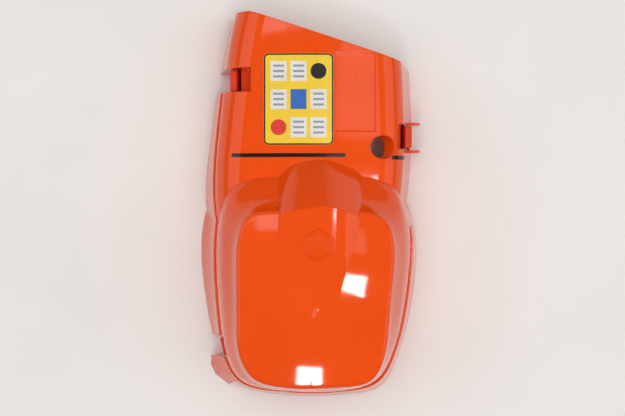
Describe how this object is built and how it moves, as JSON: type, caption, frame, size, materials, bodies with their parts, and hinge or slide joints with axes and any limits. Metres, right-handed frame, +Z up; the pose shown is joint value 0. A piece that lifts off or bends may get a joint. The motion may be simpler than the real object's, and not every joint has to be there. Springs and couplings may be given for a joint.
{
  "type": "air filter housing",
  "caption": "Glossy moulded top cover for a chain saw: a raised dome that houses the air filter, a lower front deck with a label, snap latches and a valve hole.",
  "frame": {"origin": "under the middle of the cover's bounding box, on the plane that the rim stands on", "axes": "+X towards the saw's right side, +Y towards the saw's front, +Z up out of the deck"},
  "size_m": [0.1522, 0.2642, 0.0965],
  "materials": {
    "orange_gloss": "glossy injection-moulded orange nylon",
    "orange_lever": "moulded orange nylon, a little duller than the cover",
    "label_yellow": "printed yellow film with a black border",
    "mark_black": "glossy black strip",
    "foil": "thin embossed foil",
    "rivet_steel": "plain rivet heads",
    "black_plastic": "black nylon",
    "knob_plastic": "black nylon, fine texture",
    "foam_black": "closed-cell foam",
    "rubber_black": "smooth rubber ring",
    "filter_paper": "pleated filter fleece",
    "zinc_steel": "zinc-plated steel",
    "spring_steel": "spring steel strip"
  },
  "bodies": {
    "housing": {"cover_shell": "orange_gloss", "info_label": "label_yellow", "sight_mark_top": "mark_black", "sight_mark_right": "mark_black", "heat_shield": "foil", "shield_rivets": "rivet_steel", "filter_tray": "black_plastic", "chamber_seal": "foam_black", "partition_seal": "foam_black", "collar_ring": "rubber_black", "filter_element": "filter_paper", "filter_cap": "black_plastic", "filter_stud": "zinc_steel", "knob_washer": "zinc_steel", "latch_left_pin": "zinc_steel", "latch_left_spring": "spring_steel", "latch_right_pin": "zinc_steel", "latch_right_spring": "spring_steel", "latch_rear_pin": "zinc_steel", "latch_rear_spring": "spring_steel"},
    "latch_left": {"latch_left_lever": "orange_lever"},
    "latch_right": {"latch_right_lever": "orange_lever"},
    "latch_rear": {"latch_rear_lever": "orange_lever"},
    "knob": {"filter_knob": "knob_plastic"}
  },
  "joints": [
    {"name": "latch_left_hinge", "type": "hinge", "parent": "housing", "child": "latch_left", "pos_m": [-0.05, 0.0862, 0.012], "axis": [0, -1, 0], "range_deg": [0, 60]},
    {"name": "latch_right_hinge", "type": "hinge", "parent": "housing", "child": "latch_right", "pos_m": [0.0656, 0.0484, 0.012], "axis": [0, 1, 0], "range_deg": [0, 60]},
    {"name": "latch_rear_hinge", "type": "hinge", "parent": "housing", "child": "latch_rear", "pos_m": [-0.0555, -0.0926, 0.012], "axis": [0.2419, -0.9703, 0], "range_deg": [0, 60]},
    {"name": "filter_knob_turn", "type": "hinge", "parent": "housing", "child": "knob", "pos_m": [0.003, -0.066, 0.0208], "axis": [0, 0, -1], "range_deg": [0, 90]}
  ]
}
